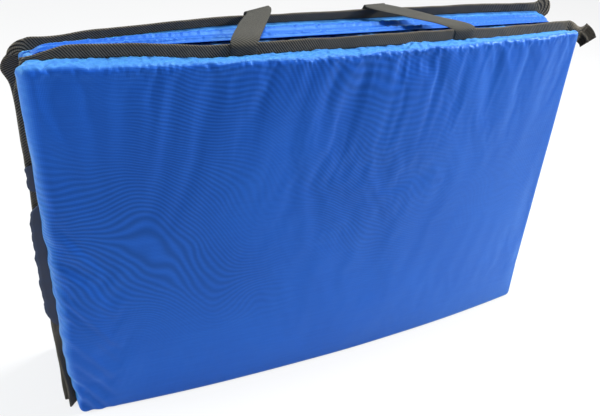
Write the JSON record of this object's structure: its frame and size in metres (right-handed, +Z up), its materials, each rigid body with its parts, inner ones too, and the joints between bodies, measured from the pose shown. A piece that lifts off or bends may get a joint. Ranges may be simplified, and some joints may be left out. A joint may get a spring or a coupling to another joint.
{
  "type": "folding exercise mat",
  "caption": "Folding exercise mat of boxed foam cushions in satin fabric with webbing bindings, Z-folded and stood on edge, with a webbing carrying loop",
  "frame": {"origin": "the middle of the underside of the folded, standing mat's bounding box, on the floor", "axes": "+X along the mat's length, +Y from the front panel back to the splayed rear panel, +Z up"},
  "size_m": [1.02, 0.2232, 0.6262],
  "materials": {
    "cover": "satin woven nylon",
    "binding": "matte woven tape",
    "webbing": "matte woven webbing",
    "foam": "matte closed-cell foam"
  },
  "bodies": {
    "front_panel": {"front_face_cover": "cover", "front_back_cover": "cover", "front_foam_core": "foam", "front_binding_top_left": "binding", "front_binding_top_middle": "binding", "front_binding_top_right": "binding", "front_binding_left": "binding", "front_binding_right": "binding", "lower_hinge_front_leaf": "binding", "handle_end_left": "webbing", "handle_end_right": "webbing"},
    "middle_panel": {"middle_face_cover": "cover", "middle_back_cover": "cover", "middle_foam_core": "foam", "middle_binding_top": "binding", "middle_binding_left": "binding", "middle_binding_right": "binding", "lower_hinge_middle_leaf": "binding", "upper_hinge_middle_leaf": "cover"},
    "rear_panel": {"rear_face_cover": "cover", "rear_back_cover": "cover", "rear_foam_core": "foam", "rear_allowance_top": "cover", "rear_binding_top": "binding", "rear_binding_bottom": "binding", "rear_binding_left": "binding", "rear_binding_right": "binding", "upper_hinge_rear_leaf": "cover"},
    "handle_loop": {"carry_handle": "webbing"}
  },
  "joints": [
    {"name": "lower_fold", "type": "hinge", "parent": "front_panel", "child": "middle_panel", "pos_m": [-0.03685, -0.04161, 0.0003], "axis": [-1, 0, 0], "range_deg": [0, 180]},
    {"name": "upper_fold", "type": "hinge", "parent": "middle_panel", "child": "rear_panel", "pos_m": [-0.03685, -0.00221, 0.5975], "axis": [1, 0, 0], "range_deg": [-4.9, 173.98], "deforming": ["rear_binding_top", "rear_allowance_top"]},
    {"name": "handle_swing", "type": "hinge", "parent": "front_panel", "child": "handle_loop", "pos_m": [-0.03685, -0.06746, 0.613], "axis": [1, 0, 0], "range_deg": [0, 180], "deforming": ["carry_handle"]}
  ]
}
